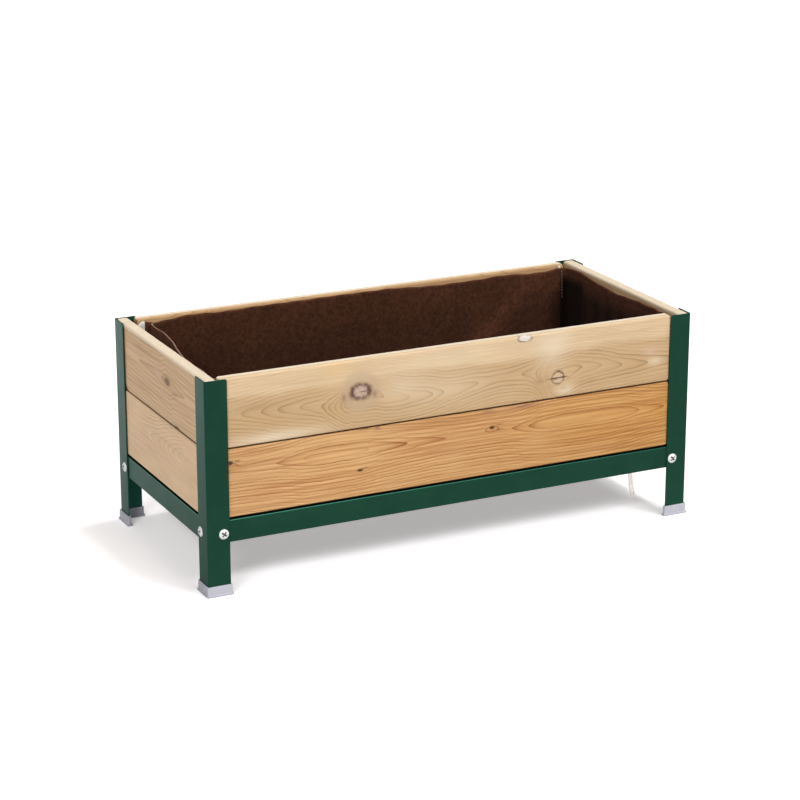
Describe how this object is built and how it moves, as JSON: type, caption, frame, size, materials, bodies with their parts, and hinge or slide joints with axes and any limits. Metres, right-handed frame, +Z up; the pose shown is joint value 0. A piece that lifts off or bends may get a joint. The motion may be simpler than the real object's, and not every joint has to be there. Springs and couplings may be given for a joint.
{
  "type": "elevated planter",
  "caption": "Raised rectangular planter: pine boards standing on a bolted steel angle stand with foot caps, a drained tray and a lift-out felt liner bag.",
  "frame": {"origin": "on the floor under the centre of the planter", "axes": "+X to the right along the front, +Y to the back, +Z up"},
  "size_m": [0.9286, 0.4236, 0.3728],
  "materials": {
    "green_coat": "fine satin powder coat, dark green",
    "pine": "planed pine, clear matt oil",
    "honey_pine": "planed pine, honey coloured heartwood",
    "foot_plastic": "smooth moulded light grey",
    "zinc": "bright zinc plate",
    "galvanised": "galvanised sheet",
    "felt": "needled brown felt",
    "spout_plastic": "moulded black",
    "clear_pvc": "clear soft tube"
  },
  "bodies": {
    "stand": {"post_front_left": "green_coat", "foot_cap_front_left": "foot_plastic", "corner_bracket_front_left": "galvanised", "bolt_front_left_front": "zinc", "nut_front_left_front": "zinc", "screw_front_left_front_lower": "zinc", "screw_front_left_front_upper": "zinc", "bolt_front_left_left": "zinc", "nut_front_left_left": "zinc", "screw_front_left_left_lower": "zinc", "screw_front_left_left_upper": "zinc", "post_front_right": "green_coat", "foot_cap_front_right": "foot_plastic", "corner_bracket_front_right": "galvanised", "bolt_front_right_right": "zinc", "nut_front_right_right": "zinc", "screw_front_right_right_lower": "zinc", "screw_front_right_right_upper": "zinc", "bolt_front_right_front": "zinc", "nut_front_right_front": "zinc", "screw_front_right_front_lower": "zinc", "screw_front_right_front_upper": "zinc", "post_back_right": "green_coat", "foot_cap_back_right": "foot_plastic", "corner_bracket_back_right": "galvanised", "bolt_back_right_back": "zinc", "nut_back_right_back": "zinc", "screw_back_right_back_lower": "zinc", "screw_back_right_back_upper": "zinc", "bolt_back_right_right": "zinc", "nut_back_right_right": "zinc", "screw_back_right_right_lower": "zinc", "screw_back_right_right_upper": "zinc", "post_back_left": "green_coat", "foot_cap_back_left": "foot_plastic", "corner_bracket_back_left": "galvanised", "bolt_back_left_left": "zinc", "nut_back_left_left": "zinc", "screw_back_left_left_lower": "zinc", "screw_back_left_left_upper": "zinc", "bolt_back_left_back": "zinc", "nut_back_left_back": "zinc", "screw_back_left_back_lower": "zinc", "screw_back_left_back_upper": "zinc", "rail_front": "green_coat", "board_front_lower": "honey_pine", "board_front_upper": "pine", "rail_right": "green_coat", "board_right_lower": "pine", "board_right_upper": "pine", "rail_back": "green_coat", "board_back_lower": "pine", "board_back_upper": "pine", "rail_left": "green_coat", "board_left_lower": "pine", "board_left_upper": "pine", "tray": "galvanised", "drain_spout": "spout_plastic", "drain_hose": "clear_pvc"},
    "liner_bag": {"liner": "felt"}
  },
  "joints": [
    {"name": "liner_lift", "type": "slide", "parent": "stand", "child": "liner_bag", "axis": [0, 0, 1], "range_m": [0, 0.26]}
  ]
}
